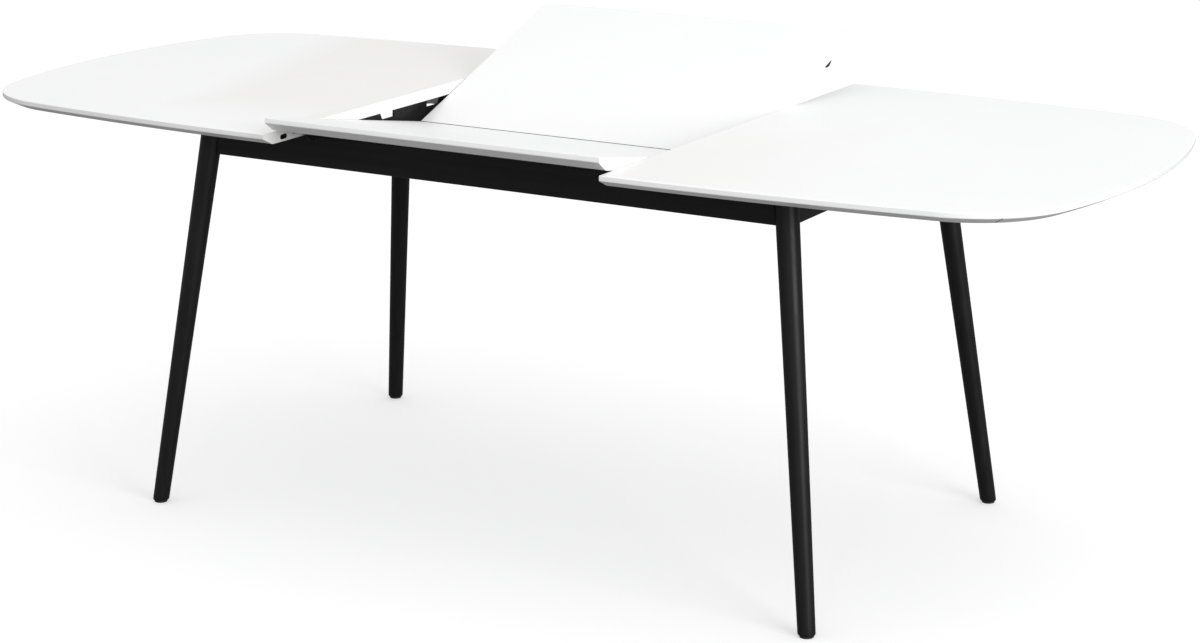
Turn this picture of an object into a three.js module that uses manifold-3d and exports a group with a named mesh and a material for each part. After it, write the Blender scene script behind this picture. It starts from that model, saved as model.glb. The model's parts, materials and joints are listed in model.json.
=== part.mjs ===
// Extendable dining table with a butterfly leaf, shown with its two top halves pulled apart
// and the two-panel leaf part way up between them.
// Millimetres, +Z up. Origin on the floor, midway between the legs. +X runs along the table.
import * as THREE from 'three';
import { mergeVertices } from 'three/addons/utils/BufferGeometryUtils.js';
import Module from 'manifold-3d';

const wasm = await Module();
wasm.setup();

// Driving dimensions.
const TABLE_HEIGHT = 745;
const TOP_THICKNESS = 21;
const HALF_WIDTH = 477;
const HALF_LENGTH = 758;
const OPEN_OFFSET = 331;
const SIDE_RADIUS = 4700;
const END_RADIUS = 1155;
const CORNER_RADIUS = 192;
const EDGE_HEIGHT = 9;
const BEVEL_WIDTH = 25;
const ARRIS = 1.2;

const FRAME_TOP = 712;
const APRON_BOTTOM = 658;
const APRON_THICKNESS = 22;
const APRON_OUTER_X = 589;
const APRON_OUTER_Y = 314;

const LEG_TOP_X = 575.8;
const LEG_TOP_Y = 302.8;
const LEG_FOOT_X = 668;
const LEG_FOOT_Y = 386;
const LEG_TOP_RADIUS = 20;
const LEG_FOOT_RADIUS = 15;
const GLIDE_HEIGHT = 3;

const LEAF_HALF_LENGTH = 329;
const PANEL_WIDTH = 476.5;
const SEAM_HALF_GAP = 0.5;
const PIVOT_Y = 158;
const PIVOT_DROP = 30;
const REAR_TILT = THREE.MathUtils.degToRad(19.97);
const FRONT_TILT = THREE.MathUtils.degToRad(10.2);
const FOLD_RISE = 5;

const GAP = 0.3;
const OVERSHOOT = 1;

// Heights and planes that follow from them.
const TOP_UNDERSIDE = TABLE_HEIGHT - TOP_THICKNESS;
const UNDER_TOP = TOP_UNDERSIDE - GAP;
const APRON_INNER_X = APRON_OUTER_X - APRON_THICKNESS;
const APRON_INNER_Y = APRON_OUTER_Y - APRON_THICKNESS;
const PIVOT_Z = TABLE_HEIGHT - PIVOT_DROP;
const FOLD_Z = TABLE_HEIGHT + FOLD_RISE;
const SIDES = [{ name: 'left', sign: -1 }, { name: 'right', sign: 1 }];
const ENDS = [{ name: 'front', sign: -1 }, { name: 'back', sign: 1 }];

// Finishes.
const FINISH = {
  lacquer: { color: 0xf2f2f1, roughness: 0.42, metalness: 0 },
  leg: { color: 0x1b1b1c, roughness: 0.45, metalness: 0 },
  apron: { color: 0x1e1e1f, roughness: 0.5, metalness: 0 },
  blackSteel: { color: 0x232325, roughness: 0.45, metalness: 0.8 },
  zinc: { color: 0xb4b6b8, roughness: 0.4, metalness: 0.9 },
  nylon: { color: 0x2a2a2b, roughness: 0.6, metalness: 0 },
  felt: { color: 0x55565a, roughness: 0.95, metalness: 0 },
};

function part(name, geometry, finish) {
  const mesh = new THREE.Mesh(geometry, new THREE.MeshStandardMaterial(FINISH[finish]));
  mesh.name = name;
  return mesh;
}

// Booleans.
function toSolid(geometry) {
  let plain = geometry.clone();
  plain.deleteAttribute('normal');
  plain.deleteAttribute('uv');
  plain = mergeVertices(plain, 1e-4);
  return new wasm.Manifold(new wasm.Mesh({
    numProp: 3,
    vertProperties: new Float32Array(plain.attributes.position.array),
    triVerts: new Uint32Array(plain.index.array),
  }));
}

function toGeometry(solid) {
  const mesh = solid.getMesh();
  const geometry = new THREE.BufferGeometry();
  geometry.setAttribute('position', new THREE.BufferAttribute(new Float32Array(mesh.vertProperties), 3));
  geometry.setIndex(new THREE.BufferAttribute(new Uint32Array(mesh.triVerts), 1));
  geometry.computeVertexNormals();
  return geometry;
}

function cut(body, tools) {
  return toGeometry(tools.reduce((solid, tool) => solid.subtract(toSolid(tool)), toSolid(body)));
}

function join(bodies) {
  return toGeometry(bodies.map(toSolid).reduce((sum, solid) => sum.add(solid)));
}

// Blocks and sections. A range is a pair of limits in any order.
function block(xs, ys, zs) {
  const spans = [xs, ys, zs].map(([a, b]) => ({ size: Math.abs(b - a), middle: (a + b) / 2 }));
  const geometry = new THREE.BoxGeometry(...spans.map((span) => span.size));
  return geometry.translate(...spans.map((span) => span.middle));
}

function shapeOf(points) {
  return new THREE.Shape(points.map(([a, b]) => new THREE.Vector2(a, b)));
}

function extrudeUp(points, zs) {
  const depth = Math.abs(zs[1] - zs[0]);
  const geometry = new THREE.ExtrudeGeometry(shapeOf(points), { depth, bevelEnabled: false });
  return geometry.translate(0, 0, Math.min(...zs));
}

// A section drawn in the YZ plane and run along X.
function extrudeAlong(points, xs) {
  const depth = Math.abs(xs[1] - xs[0]);
  const geometry = new THREE.ExtrudeGeometry(shapeOf(points), { depth, bevelEnabled: false });
  const turn = new THREE.Matrix4().makeBasis(
    new THREE.Vector3(0, 1, 0),
    new THREE.Vector3(0, 0, 1),
    new THREE.Vector3(1, 0, 0),
  );
  return geometry.applyMatrix4(turn).translate(Math.min(...xs), 0, 0);
}

const ROD_SEGMENTS = 24;

function rodAlongX(radius, xs, y, z) {
  const geometry = new THREE.CylinderGeometry(radius, radius, Math.abs(xs[1] - xs[0]), ROD_SEGMENTS);
  return geometry.rotateZ(Math.PI / 2).translate((xs[0] + xs[1]) / 2, y, z);
}

// Table top half: a long gentle side arc, a corner arc and an end arc, tangent to each other.
function cornerCentre() {
  const sideCentre = new THREE.Vector2(0, HALF_WIDTH - SIDE_RADIUS);
  const endCentre = new THREE.Vector2(HALF_LENGTH - END_RADIUS, 0);
  const fromSide = SIDE_RADIUS - CORNER_RADIUS;
  const fromEnd = END_RADIUS - CORNER_RADIUS;
  const between = endCentre.clone().sub(sideCentre);
  const span = between.length();
  const along = (fromSide ** 2 - fromEnd ** 2 + span ** 2) / (2 * span);
  const off = Math.sqrt(fromSide ** 2 - along ** 2);
  const unit = between.normalize();
  const centre = sideCentre.clone().addScaledVector(unit, along);
  return centre.add(new THREE.Vector2(unit.y, -unit.x).multiplyScalar(off));
}

function arcPoints(centre, radius, from, to, divisions) {
  const curve = new THREE.ArcCurve(centre.x, centre.y, radius, from, to, true);
  return curve.getPoints(divisions);
}

const OUTLINE_DIVISIONS = { side: 8, corner: 12, end: 8 };

// Outline of a half at a given inset from its edge, from the inner edge's front end round to its rear end.
function halfOutline(inset) {
  const divisions = OUTLINE_DIVISIONS;
  const corner = cornerCentre();
  const sideCentre = new THREE.Vector2(0, HALF_WIDTH - SIDE_RADIUS);
  const endCentre = new THREE.Vector2(HALF_LENGTH - END_RADIUS, 0);
  const sideAngle = corner.clone().sub(sideCentre).angle();
  const endAngle = corner.clone().sub(endCentre).angle();
  const side = arcPoints(sideCentre, SIDE_RADIUS - inset, Math.PI / 2, sideAngle, divisions.side);
  const turn = arcPoints(corner, CORNER_RADIUS - inset, sideAngle, endAngle, divisions.corner);
  const end = arcPoints(endCentre, END_RADIUS - inset, endAngle, 0, divisions.end);
  const quarter = [...side, ...turn.slice(1), ...end.slice(1)];
  const front = quarter.map((p) => new THREE.Vector2(p.x, -p.y));
  return [...front, ...quarter.slice(0, -1).reverse()];
}

// Skin over matching rings, one above the other, closed by flat caps.
function loft(rings) {
  const count = rings[0].points.length;
  const positions = rings.flatMap(({ points, z }) => points.flatMap((p) => [p.x, p.y, z]));
  const index = [];
  rings.slice(1).forEach((ring, level) => {
    for (let i = 0; i < count; i += 1) {
      const a = level * count + i;
      const b = level * count + ((i + 1) % count);
      index.push(a, b, a + count, b, b + count, a + count);
    }
  });
  const last = (rings.length - 1) * count;
  THREE.ShapeUtils.triangulateShape(rings[0].points, []).forEach(([a, b, c]) => {
    index.push(c, b, a);
    index.push(last + a, last + b, last + c);
  });
  const geometry = new THREE.BufferGeometry();
  geometry.setAttribute('position', new THREE.Float32BufferAttribute(positions, 3));
  geometry.setIndex(index);
  return geometry;
}

function halfTopBody(sign) {
  const levels = [
    { inset: BEVEL_WIDTH, z: TOP_UNDERSIDE },
    { inset: 0, z: TABLE_HEIGHT - EDGE_HEIGHT },
    { inset: 0, z: TABLE_HEIGHT - ARRIS },
    { inset: ARRIS, z: TABLE_HEIGHT },
  ];
  const rings = levels.map(({ inset, z }) => ({ points: halfOutline(inset), z }));
  const geometry = loft(rings);
  if (sign < 0) geometry.rotateZ(Math.PI);
  return geometry.translate(sign * OPEN_OFFSET, 0, 0);
}

// Slots with round ends in each half's inner end face: lined sockets for the latches, and bare slots
// beside them for locating pins.
const SOCKET = { depth: 15, floor: 2.5, outer: { width: 20, height: 9 }, inner: { width: 17, height: 6.4 } };
const SOCKET_PLACE = { front: { y: -420, z: 732 }, back: { y: 420, z: 732 } };
const PIN_SLOT = { depth: 12, size: { width: 17, height: 7 } };
const PIN_SLOT_PLACE = { front: { y: -386, z: 735 }, back: { y: 386, z: 735 } };
const SLOT_END_DIVISIONS = 8;

// A slot with round ends about a place on the inner end face, from one depth to another.
function endFaceSlot(sign, place, size, from, to) {
  const radius = size.height / 2;
  const straight = size.width / 2 - radius;
  const section = [];
  [1, -1].forEach((end) => {
    for (let i = 0; i <= SLOT_END_DIVISIONS; i += 1) {
      const angle = Math.PI * (i / SLOT_END_DIVISIONS - 0.5);
      const y = place.y + end * (straight + radius * Math.cos(angle));
      section.push([y, place.z + end * radius * Math.sin(angle)]);
    }
  });
  return extrudeAlong(section, [sign * (OPEN_OFFSET + from), sign * (OPEN_OFFSET + to)]);
}

function halfTop(sign) {
  const lined = Object.values(SOCKET_PLACE).map((place) => (
    endFaceSlot(sign, place, SOCKET.outer, -OVERSHOOT, SOCKET.depth)
  ));
  const bare = Object.values(PIN_SLOT_PLACE).map((place) => (
    endFaceSlot(sign, place, PIN_SLOT.size, -OVERSHOOT, PIN_SLOT.depth)
  ));
  return cut(halfTopBody(sign), [...lined, ...bare]);
}

function socketLiner(sign, place) {
  const { outer, inner, depth, floor } = SOCKET;
  const fitted = { width: outer.width - 2 * GAP, height: outer.height - 2 * GAP };
  const shell = endFaceSlot(sign, place, fitted, 0, depth - GAP);
  return cut(shell, [endFaceSlot(sign, place, inner, -OVERSHOOT, depth - floor)]);
}

// Slide gear: a channel on each long apron, and a runner under each end of each half.
const CHANNEL = { half: 552, bottom: 689, top: 707, mouth: 270, wall: 2 };
const RUNNER = { from: 335, to: 520, plateInner: 236, webInner: 260, plate: 3, play: 0.5, mouthPlay: 2 };

function slideChannel(sign) {
  const back = APRON_INNER_Y - GAP;
  const section = [
    [CHANNEL.mouth, CHANNEL.bottom],
    [back, CHANNEL.bottom],
    [back, CHANNEL.top],
    [CHANNEL.mouth, CHANNEL.top],
    [CHANNEL.mouth, CHANNEL.top - CHANNEL.wall],
    [back - CHANNEL.wall, CHANNEL.top - CHANNEL.wall],
    [back - CHANNEL.wall, CHANNEL.bottom + CHANNEL.wall],
    [CHANNEL.mouth, CHANNEL.bottom + CHANNEL.wall],
  ];
  return extrudeAlong(section.map(([y, z]) => [sign * y, z]), [-CHANNEL.half, CHANNEL.half]);
}

function runner(side, end) {
  const low = CHANNEL.bottom + CHANNEL.wall + RUNNER.play;
  const high = CHANNEL.top - CHANNEL.wall - RUNNER.play;
  const barOuter = APRON_INNER_Y - GAP - CHANNEL.wall - RUNNER.play;
  const webOuter = CHANNEL.mouth - RUNNER.mouthPlay;
  const section = [
    [barOuter, low],
    [barOuter, high],
    [webOuter, high],
    [webOuter, UNDER_TOP],
    [RUNNER.plateInner, UNDER_TOP],
    [RUNNER.plateInner, UNDER_TOP - RUNNER.plate],
    [RUNNER.webInner, UNDER_TOP - RUNNER.plate],
    [RUNNER.webInner, low],
  ];
  return extrudeAlong(section.map(([y, z]) => [end * y, z]), [side * RUNNER.from, side * RUNNER.to]);
}

// Legs: round, tapered and leaning outwards both ways, with level ends.
const LEG_BASE = GLIDE_HEIGHT + GAP;
const LEG_CHAMFER = 2;
const LEG_SEGMENTS = 24;
const LEG_LEAN_X = (LEG_FOOT_X - LEG_TOP_X) / FRAME_TOP;
const LEG_LEAN_Y = (LEG_FOOT_Y - LEG_TOP_Y) / FRAME_TOP;

function legAxisAt(z) {
  return { x: LEG_FOOT_X - LEG_LEAN_X * z, y: LEG_FOOT_Y - LEG_LEAN_Y * z };
}

// A leg's outer form, grown by an extra radius.
function legForm(sideSign, endSign, extra) {
  const profile = [
    new THREE.Vector2(0, LEG_BASE),
    new THREE.Vector2(LEG_FOOT_RADIUS - LEG_CHAMFER + extra, LEG_BASE),
    new THREE.Vector2(LEG_FOOT_RADIUS + extra, LEG_BASE + LEG_CHAMFER),
    new THREE.Vector2(LEG_TOP_RADIUS + extra, FRAME_TOP),
    new THREE.Vector2(0, FRAME_TOP),
  ];
  const geometry = new THREE.LatheGeometry(profile, LEG_SEGMENTS).rotateX(Math.PI / 2);
  const lean = new THREE.Matrix4().set(
    1, 0, -sideSign * LEG_LEAN_X, 0,
    0, 1, -endSign * LEG_LEAN_Y, 0,
    0, 0, 1, 0,
    0, 0, 0, 1,
  );
  geometry.applyMatrix4(lean);
  return geometry.translate(sideSign * LEG_FOOT_X, endSign * LEG_FOOT_Y, 0);
}

// Corner plates and the bolt that draws each leg in.
const PLATE = { bottom: 661, top: 687, thickness: 3, flange: 30, set: 80 };
const BOLT_LEVEL = (PLATE.bottom + PLATE.top) / 2;
const BOLT = { radius: 4, headRadius: 7.5, headHeight: 5.5, intoLeg: 12, clearance: 0.4 };
const HEX_SIDES = 6;
const BOLT_SEGMENTS = 16;

function cornerPlate(side, end) {
  const x = APRON_INNER_X - GAP;
  const y = APRON_INNER_Y - GAP;
  const t = PLATE.thickness;
  const bend = t * Math.tan(Math.PI / 8);
  const outline = [
    [x - PLATE.set - PLATE.flange, y],
    [x - PLATE.set, y],
    [x, y - PLATE.set],
    [x, y - PLATE.set - PLATE.flange],
    [x - t, y - PLATE.set - PLATE.flange],
    [x - t, y - PLATE.set - bend],
    [x - PLATE.set - bend, y - t],
    [x - PLATE.set - PLATE.flange, y - t],
  ];
  const plate = extrudeUp(outline.map(([a, b]) => [side * a, end * b]), [PLATE.bottom, PLATE.top]);
  return cut(plate, [boltRod(side, end, BOLT.radius + BOLT.clearance, 2 * t, 2 * t)]);
}

// A rod on the bolt's line, running this far inwards and outwards from the plate's middle.
function boltRod(side, end, radius, inwards, outwards, segments = BOLT_SEGMENTS) {
  const length = inwards + outwards;
  const rod = new THREE.CylinderGeometry(radius, radius, length, segments).rotateZ(-Math.PI / 2);
  rod.translate((outwards - inwards) / 2, 0, 0);
  rod.rotateZ(Math.atan2(end, side));
  const x = side * (APRON_INNER_X - GAP - PLATE.set / 2);
  const y = end * (APRON_INNER_Y - GAP - PLATE.set / 2);
  return rod.translate(x, y, BOLT_LEVEL);
}

function boltReach() {
  const leg = legAxisAt(BOLT_LEVEL);
  const dx = leg.x - (APRON_INNER_X - GAP - PLATE.set / 2);
  const dy = leg.y - (APRON_INNER_Y - GAP - PLATE.set / 2);
  return Math.hypot(dx, dy) - LEG_TOP_RADIUS + BOLT.intoLeg;
}

function legBolt(side, end) {
  const inner = PLATE.thickness + GAP;
  const shank = boltRod(side, end, BOLT.radius, inner + OVERSHOOT, boltReach());
  const head = boltRod(side, end, BOLT.headRadius, inner + BOLT.headHeight, -inner, HEX_SIDES);
  return join([shank, head]);
}

function boltBore(side, end) {
  return boltRod(side, end, BOLT.radius + BOLT.clearance, 0, boltReach() + OVERSHOOT);
}

const FOOT_GLIDE = { topRadius: 11, footRadius: 12, segments: 20 };

function leg(side, end) {
  return cut(legForm(side, end, 0), [boltBore(side, end)]);
}

function footGlide(side, end) {
  const { topRadius, footRadius, segments } = FOOT_GLIDE;
  const geometry = new THREE.CylinderGeometry(topRadius, footRadius, GLIDE_HEIGHT, segments);
  return geometry.rotateX(Math.PI / 2).translate(side * LEG_FOOT_X, end * LEG_FOOT_Y, GLIDE_HEIGHT / 2);
}

// Aprons, coped to the legs they meet and relieved for the leg bolts.
function longApron(end) {
  const reach = LEG_TOP_X;
  const ys = [end * APRON_INNER_Y, end * APRON_OUTER_Y];
  const board = block([-reach, reach], ys, [APRON_BOTTOM, FRAME_TOP]);
  return cut(board, SIDES.flatMap(({ sign }) => [legForm(sign, end, GAP), boltBore(sign, end)]));
}

function shortApron(side) {
  const reach = APRON_INNER_Y - GAP;
  const xs = [side * APRON_INNER_X, side * APRON_OUTER_X];
  const board = block(xs, [-reach, reach], [APRON_BOTTOM, FRAME_TOP]);
  return cut(board, ENDS.flatMap(({ sign }) => [legForm(side, sign, GAP), boltBore(side, sign)]));
}

// Cross members: folded steel, an upright web with a foot flange turned away from the gap. The web's top
// edge passes under the slide channels at its ends, clears the runners, and has two cut-outs.
const CROSS = {
  inner: 352, sheet: 3, flange: 40, bottom: 661, low: 687, middle: 705, shoulder: 254, riser: 232,
};
const CUT_OUT = { from: 54, to: 92, slopeTo: 98, slopeTop: 716 };

function crossMember(side) {
  const reach = APRON_INNER_Y - GAP;
  const half = [
    [reach, CROSS.bottom],
    [reach, CROSS.low],
    [CROSS.shoulder, CROSS.low],
    [CROSS.shoulder, CROSS.middle],
    [CROSS.riser, CROSS.middle],
    [CROSS.riser, UNDER_TOP],
    [CUT_OUT.slopeTo, UNDER_TOP],
    [CUT_OUT.slopeTo, CUT_OUT.slopeTop],
    [CUT_OUT.to, CROSS.middle],
    [CUT_OUT.from, CROSS.middle],
    [CUT_OUT.from, UNDER_TOP],
  ];
  const mirrored = half.map(([y, z]) => [-y, z]).reverse();
  const web = extrudeAlong([...half, ...mirrored], [side * CROSS.inner, side * (CROSS.inner + CROSS.sheet)]);
  const foot = block(
    [side * CROSS.inner, side * (CROSS.inner + CROSS.flange)],
    [-reach, reach],
    [CROSS.bottom, CROSS.bottom + CROSS.sheet],
  );
  return join([web, foot]);
}

// Leaf pivots: a bracket on each cross member and an arm with a pin under the rear panel.
const PIN_RADIUS = 4;
const PIN_CLEARANCE = 0.15;
const PIVOT_PLATE = { thickness: 3, half: 18, bottom: 668, round: 7.2 };
const PIVOT_ARM = { from: 296, to: 326, half: 24, plate: 2.5, web: 2.5, nose: 9 };

function pivotBracket(side) {
  const outer = CROSS.inner - GAP;
  const top = PIVOT_Z + PIVOT_PLATE.round;
  const outline = [
    [PIVOT_Y - PIVOT_PLATE.half, PIVOT_PLATE.bottom],
    [PIVOT_Y + PIVOT_PLATE.half, PIVOT_PLATE.bottom],
    [PIVOT_Y + PIVOT_PLATE.half, PIVOT_Z - PIVOT_PLATE.half / 2],
    [PIVOT_Y + PIVOT_PLATE.round, top],
    [PIVOT_Y - PIVOT_PLATE.round, top],
    [PIVOT_Y - PIVOT_PLATE.half, PIVOT_Z - PIVOT_PLATE.half / 2],
  ];
  const plate = extrudeAlong(outline, [side * (outer - PIVOT_PLATE.thickness), side * outer]);
  const through = [side * (outer - 2 * PIVOT_PLATE.thickness), side * (outer + OVERSHOOT)];
  return cut(plate, [rodAlongX(PIN_RADIUS + PIN_CLEARANCE, through, PIVOT_Y, PIVOT_Z)]);
}

function pivotArm(side) {
  const { from, to, half, plate, web, nose } = PIVOT_ARM;
  const flange = block(
    [side * from, side * to],
    [PIVOT_Y - half, PIVOT_Y + half],
    [UNDER_TOP - plate, UNDER_TOP],
  );
  const outline = [
    [PIVOT_Y - half, UNDER_TOP - plate / 2],
    [PIVOT_Y - nose, PIVOT_Z - nose],
    [PIVOT_Y + nose, PIVOT_Z - nose],
    [PIVOT_Y + half, UNDER_TOP - plate / 2],
  ];
  const cheek = extrudeAlong(outline, [side * (to - web), side * to]);
  const pin = rodAlongX(PIN_RADIUS, [side * (to - OVERSHOOT), side * (CROSS.inner - GAP)], PIVOT_Y, PIVOT_Z);
  return join([flange, cheek, pin]);
}

// Leaf panels, drawn flat, level with the halves. The fold line lies just above the seam.
const HINGE_X = [-272, 0, 272];
const HINGE = { half: 11, split: 0.5, bodyFrom: 3, depth: 24, low: 727, high: 739, slack: 0.6 };
const HINGE_LINK = { radius: 23, from: 4, low: 728, high: 738.5, thickness: 7, steps: 6 };
const NOTCH = { half: 8, depth: 0.6 };

function hingePocket(end, x) {
  const { half, depth, low, high, slack } = HINGE;
  const pocket = block(
    [x - half - slack, x + half + slack],
    [0, end * (depth + slack)],
    [low - slack, high + slack],
  );
  const notch = block(
    [x - NOTCH.half, x + NOTCH.half],
    [0, end * NOTCH.depth],
    [TOP_UNDERSIDE - OVERSHOOT, TABLE_HEIGHT + OVERSHOOT],
  );
  return [pocket, notch];
}

function leafPanel(end) {
  const edge = end * (SEAM_HALF_GAP + PANEL_WIDTH);
  const section = [
    [end * SEAM_HALF_GAP, TOP_UNDERSIDE],
    [edge - end * BEVEL_WIDTH, TOP_UNDERSIDE],
    [edge, TABLE_HEIGHT - EDGE_HEIGHT],
    [edge, TABLE_HEIGHT - ARRIS],
    [edge - end * ARRIS, TABLE_HEIGHT],
    [end * SEAM_HALF_GAP, TABLE_HEIGHT],
  ];
  const board = extrudeAlong(section, [-LEAF_HALF_LENGTH, LEAF_HALF_LENGTH]);
  return cut(board, HINGE_X.flatMap((x) => hingePocket(end, x)));
}

// Half of a concealed hinge: a body let into its own panel, and beside the other half's body a link
// whose outer edge is centred on the fold line, so that it swings clear of the other panel's pocket.
function hingeHalf(end, x) {
  const inner = x + end * HINGE.split;
  const body = block(
    [inner, x + end * HINGE.half],
    [end * HINGE.bodyFrom, end * HINGE.depth],
    [HINGE.low, HINGE.high],
  );
  const { radius, from, low, high, thickness, steps } = HINGE_LINK;
  const first = Math.asin((FOLD_Z - high) / radius);
  const last = Math.asin((FOLD_Z - low) / radius);
  const section = [[end * from, low], [end * from, high]];
  for (let i = 0; i <= steps; i += 1) {
    const angle = first + ((last - first) * i) / steps;
    section.push([-end * radius * Math.cos(angle), FOLD_Z - radius * Math.sin(angle)]);
  }
  const link = extrudeAlong(section, [inner, inner + end * thickness]);
  return join([body, link]);
}

// Latches under the leaf's four corners: a plate with a round lug that hangs near the panel's end.
const CATCH = { from: 284, to: 320.5, half: 12, plate: 2.5, lug: 3, lugHalf: 16, lugRadius: 18, drop: 16 };
const CATCH_Y = { front: -353, back: 398 };
const LUG_STEPS = 10;

function leafCatch(side, y) {
  const { from, to, half, plate, lug, lugHalf, lugRadius, drop } = CATCH;
  const base = block([side * from, side * to], [y - half, y + half], [UNDER_TOP - plate, UNDER_TOP]);
  const centreZ = UNDER_TOP - drop + lugRadius;
  const spread = Math.asin(lugHalf / lugRadius);
  const section = [[y - lugHalf, UNDER_TOP], [y + lugHalf, UNDER_TOP]];
  for (let i = 0; i <= LUG_STEPS; i += 1) {
    const angle = spread * (1 - (2 * i) / LUG_STEPS);
    section.push([y + lugRadius * Math.sin(angle), centreZ - lugRadius * Math.cos(angle)]);
  }
  return join([base, extrudeAlong(section, [side * (to - lug), side * to])]);
}

// Pads and blocks on top of the long aprons.
const LEAF_PAD = { x: 200, half: 12, halfWidth: 7, frontHeight: 2.7 };
const GLIDE_BLOCK = { x: 470, half: 22, halfWidth: 8 };
const PAD_BASE = FRAME_TOP + GAP;

function apronPad(size, side, end, top) {
  const x = side * size.x;
  const y = (end * (APRON_INNER_Y + APRON_OUTER_Y)) / 2;
  return block([x - size.half, x + size.half], [y - size.halfWidth, y + size.halfWidth], [PAD_BASE, top]);
}

// Assembly. The rest pose has the leaf lifted by its rear panel's tilt.
const table = new THREE.Group();
const frame = new THREE.Group();
table.add(frame);

SIDES.forEach((side) => {
  const top = new THREE.Group();
  table.add(top);
  top.add(part(`top_${side.name}`, halfTop(side.sign), 'lacquer'));
  frame.add(part(`apron_${side.name}`, shortApron(side.sign), 'apron'));
  frame.add(part(`cross_member_${side.name}`, crossMember(side.sign), 'blackSteel'));
  frame.add(part(`pivot_bracket_${side.name}`, pivotBracket(side.sign), 'blackSteel'));
  ENDS.forEach((end) => {
    const corner = `${end.name}_${side.name}`;
    frame.add(part(`leg_${corner}`, leg(side.sign, end.sign), 'leg'));
    frame.add(part(`foot_glide_${corner}`, footGlide(side.sign, end.sign), 'nylon'));
    frame.add(part(`corner_plate_${corner}`, cornerPlate(side.sign, end.sign), 'zinc'));
    frame.add(part(`leg_bolt_${corner}`, legBolt(side.sign, end.sign), 'zinc'));
    const glide = apronPad(GLIDE_BLOCK, side.sign, end.sign, UNDER_TOP);
    frame.add(part(`glide_block_${corner}`, glide, 'nylon'));
    const padTop = end.sign < 0 ? PAD_BASE + LEAF_PAD.frontHeight : UNDER_TOP;
    frame.add(part(`leaf_pad_${corner}`, apronPad(LEAF_PAD, side.sign, end.sign, padTop), 'felt'));
    top.add(part(`runner_${corner}`, runner(side.sign, end.sign), 'blackSteel'));
    const liner = socketLiner(side.sign, SOCKET_PLACE[end.name]);
    top.add(part(`socket_${corner}`, liner, 'nylon'));
  });
});

ENDS.forEach((end) => {
  frame.add(part(`apron_${end.name}`, longApron(end.sign), 'apron'));
  frame.add(part(`slide_channel_${end.name}`, slideChannel(end.sign), 'zinc'));
});

// A group that turns by an angle about a line along X, with its contents still in table coordinates.
function turnedAbout(y, z, angle) {
  const turned = new THREE.Group();
  const contents = new THREE.Group();
  turned.position.set(0, y, z);
  turned.rotation.x = angle;
  contents.position.set(0, -y, -z);
  turned.add(contents);
  return { turned, contents };
}

const rearLeaf = turnedAbout(PIVOT_Y, PIVOT_Z, REAR_TILT);
const frontLeaf = turnedAbout(0, FOLD_Z, -REAR_TILT - FRONT_TILT);
table.add(rearLeaf.turned);
rearLeaf.contents.add(frontLeaf.turned);

[[rearLeaf.contents, ENDS[1]], [frontLeaf.contents, ENDS[0]]].forEach(([group, end]) => {
  group.add(part(`leaf_panel_${end.name}`, leafPanel(end.sign), 'lacquer'));
  HINGE_X.forEach((x, i) => {
    group.add(part(`hinge_${i + 1}_${end.name}`, hingeHalf(end.sign, x), 'blackSteel'));
  });
  SIDES.forEach((side) => {
    group.add(part(`catch_${end.name}_${side.name}`, leafCatch(side.sign, CATCH_Y[end.name]), 'blackSteel'));
  });
});
SIDES.forEach((side) => {
  rearLeaf.contents.add(part(`pivot_arm_${side.name}`, pivotArm(side.sign), 'blackSteel'));
});

export default table;
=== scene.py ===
# Extendable dining table with a butterfly leaf: its looks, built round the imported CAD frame.
# Metres, +Z up, in the CAD model's own frame.
import json
import math

import bmesh
import bpy
from mathutils import Matrix, Vector


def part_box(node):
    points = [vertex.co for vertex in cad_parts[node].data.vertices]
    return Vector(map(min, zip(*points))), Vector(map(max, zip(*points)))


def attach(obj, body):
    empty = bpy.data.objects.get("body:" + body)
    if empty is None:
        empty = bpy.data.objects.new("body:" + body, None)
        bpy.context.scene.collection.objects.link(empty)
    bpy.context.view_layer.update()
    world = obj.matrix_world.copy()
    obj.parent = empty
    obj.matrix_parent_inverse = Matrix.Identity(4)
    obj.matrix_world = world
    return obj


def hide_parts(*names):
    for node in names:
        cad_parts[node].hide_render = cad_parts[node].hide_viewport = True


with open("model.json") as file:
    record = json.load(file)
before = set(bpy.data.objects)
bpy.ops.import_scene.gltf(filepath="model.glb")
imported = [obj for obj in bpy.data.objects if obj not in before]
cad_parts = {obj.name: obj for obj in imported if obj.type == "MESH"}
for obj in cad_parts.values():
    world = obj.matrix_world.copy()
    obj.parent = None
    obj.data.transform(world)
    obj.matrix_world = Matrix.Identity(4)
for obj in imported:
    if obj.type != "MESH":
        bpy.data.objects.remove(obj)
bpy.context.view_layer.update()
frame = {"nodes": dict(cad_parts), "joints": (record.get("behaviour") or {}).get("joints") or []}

MM = 0.001
SIDES = {"left": -1, "right": 1}
ENDS = {"front": -1, "back": 1}
CORNERS = [(end, side) for end in ENDS for side in SIDES]
JOINTS = {joint["name"]: joint for joint in frame["joints"]}

# Places and sizes read from the frame.
HALF_LOW, HALF_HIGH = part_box("top_right")
TABLE_HEIGHT = HALF_HIGH.z
UNDERSIDE = HALF_LOW.z
INNER_EDGE = HALF_LOW.x
HALF_LENGTH = HALF_HIGH.x - HALF_LOW.x
HALF_WIDTH = HALF_HIGH.y
LEAF_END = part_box("leaf_panel_back")[1].x
PIVOT = Vector(JOINTS["leaf_pivot"]["pos_m"])
REAR_TILT = -math.radians(JOINTS["leaf_pivot"]["range_deg"][0])
FOLD_AT_REST = Vector(JOINTS["leaf_fold"]["pos_m"])

# The top's outline: a side arc, a corner arc and an end arc, tangent to each other.
SIDE_RADIUS = 4.700
END_RADIUS = 1.155
CORNER_RADIUS = 0.192

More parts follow.
